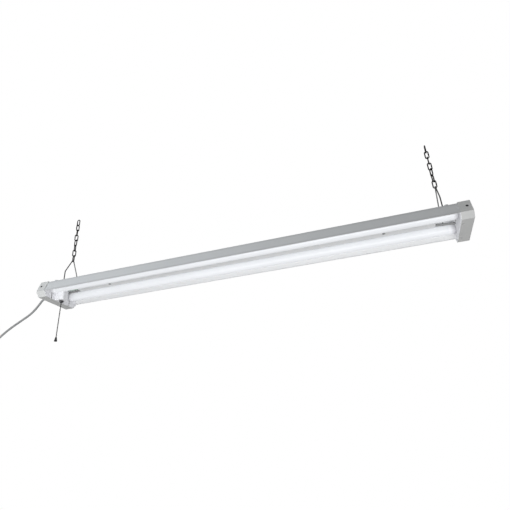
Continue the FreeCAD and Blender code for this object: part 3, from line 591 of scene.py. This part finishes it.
def weld(side, number, turn):
    """Raised weld round one side of a link."""
    around = math.radians(turn)
    middle = Vector((side * HANGER_X, 0, LINK_FIRST + (number - 1) * LINK_PITCH))
    out = Vector((math.cos(around), math.sin(around), 0)) * LINK_BEND * side
    bulge = [(-0.0016, LINK_WIRE - 0.0001), (-0.0011, LINK_WIRE + 0.00012), (-0.0005, LINK_WIRE + 0.00026),
             (0.0001, LINK_WIRE + 0.0002), (0.0005, LINK_WIRE + 0.00028), (0.0012, LINK_WIRE + 0.0001),
             (0.0016, LINK_WIRE - 0.0001)]
    return turned(bulge, middle + out, (0, 0, 1), "weld", sides=24)


WELDS = {"left_hanger": [(-1, n) for n in range(1, 6)], "right_hanger": [(1, n) for n in range(1, 6)],
         "sway_links": [(-1, 6), (1, 6)], "ceiling_links": [(-1, 7), (-1, 8), (1, 7)]}
for body, links in WELDS.items():
    whole = bmesh.new()
    for side, number in links:
        turns = LEFT_TURNS if side < 0 else RIGHT_TURNS
        whole.from_mesh(weld(side, number, turns[number - 1]))
    mesh = bpy.data.meshes.new("link_welds_" + body)
    whole.to_mesh(mesh)
    whole.free()
    add("link_welds_" + body, mesh, body, "chain_metal")


# ---- leads in view past the channel cover ----------------------------------------------------------------

def jacketed_shading_lead(name, start, end):
    """Grey jacket over the leads, straight and lightly ribbed, between the channel cover and a cap, also put
    there as a dark thing standing in for shade in the open channel.
    """
    run = Vector(end) - Vector(start)
    profile = [(0.0, 0.0012)]
    for k in range(LEAD_STEPS + 1):
        profile.append((run.length * k / LEAD_STEPS, 0.0033 if k % 2 else 0.0031))
    profile.append((run.length, 0.0012))
    mesh = turned(profile, start, run.normalized(), name, sides=28)
    return add(name, mesh, "housing", "cord_jacket")


# These leads also stand in, as a dark thing, for shade in the open channel past the cover
for lead_run in SHADING_LEAD_RUNS:
    jacketed_shading_lead(*lead_run)


# ---- floor, light and camera -----------------------------------------------------------------------------

def floor():
    """Plain pale floor, a softly lit round sheet well under the lamp."""
    material = finish("floor", (0.80, 0.80, 0.80), (0.82, 0.82, 0.82), (0.7, 0.8), patch=2, grain=60,
                      Emission_Color=(0.98, 0.99, 1, 1), Emission_Strength=FLOOR_GLOW)
    rim = [(0.0, FLOOR_RADIUS), (-FLOOR_THICK, FLOOR_RADIUS)]
    sheet = turned(rim, (0, 0, FLOOR_Z), (0, 0, 1), "floor", sides=96)
    ground = bpy.data.objects.new("floor", sheet)
    scene.collection.objects.link(ground)
    ground.data.materials.append(material)


def area_light(name, place, target, size, power, colour):
    """Soft rectangular light aimed at a point and hidden from the camera."""
    lamp = bpy.data.lights.new(name, "AREA")
    lamp.shape = "RECTANGLE"
    lamp.size, lamp.size_y = size
    lamp.energy = power
    lamp.color = colour
    holder = bpy.data.objects.new(name, lamp)
    scene.collection.objects.link(holder)
    holder.location = place
    holder.rotation_euler = (Vector(target) - Vector(place)).to_track_quat("-Z", "Y").to_euler()
    holder.visible_camera = False


def surroundings():
    """White behind everything, with a softer grey sending light on to the lamp."""
    world = bpy.data.worlds.new("studio")
    scene.world = world
    world.use_nodes = True
    nodes = world.node_tree.nodes
    link = world.node_tree.links.new
    seen = nodes["Background"]
    seen.inputs["Color"].default_value = (1, 1, 1, 1)
    seen.inputs["Strength"].default_value = 1.0
    sent = nodes.new("ShaderNodeBackground")
    sent.inputs["Color"].default_value = (0.96, 0.98, 1, 1)
    sent.inputs["Strength"].default_value = AMBIENT
    path = nodes.new("ShaderNodeLightPath")
    mix = nodes.new("ShaderNodeMixShader")
    link(path.outputs["Is Camera Ray"], mix.inputs["Fac"])
    link(sent.outputs["Background"], mix.inputs[1])
    link(seen.outputs["Background"], mix.inputs[2])
    link(mix.outputs["Shader"], nodes["World Output"].inputs["Surface"])


def camera():
    """The camera stands below the lamp, to the right of its middle, and looks up to the left."""
    axes = Matrix((EYE_RIGHT, EYE_UP, EYE_BACK)).transposed().to_4x4()
    view = bpy.data.cameras.new("camera")
    view.lens = LENS
    view.sensor_width = 36
    view.clip_start = 0.05
    view.clip_end = 50
    eye = bpy.data.objects.new("camera", view)
    scene.collection.objects.link(eye)
    eye.matrix_world = Matrix.Translation(EYE) @ axes
    scene.camera = eye


floor()
for light in LIGHTS:
    area_light(*light)
surroundings()
camera()
scene.view_settings.view_transform = "Standard"
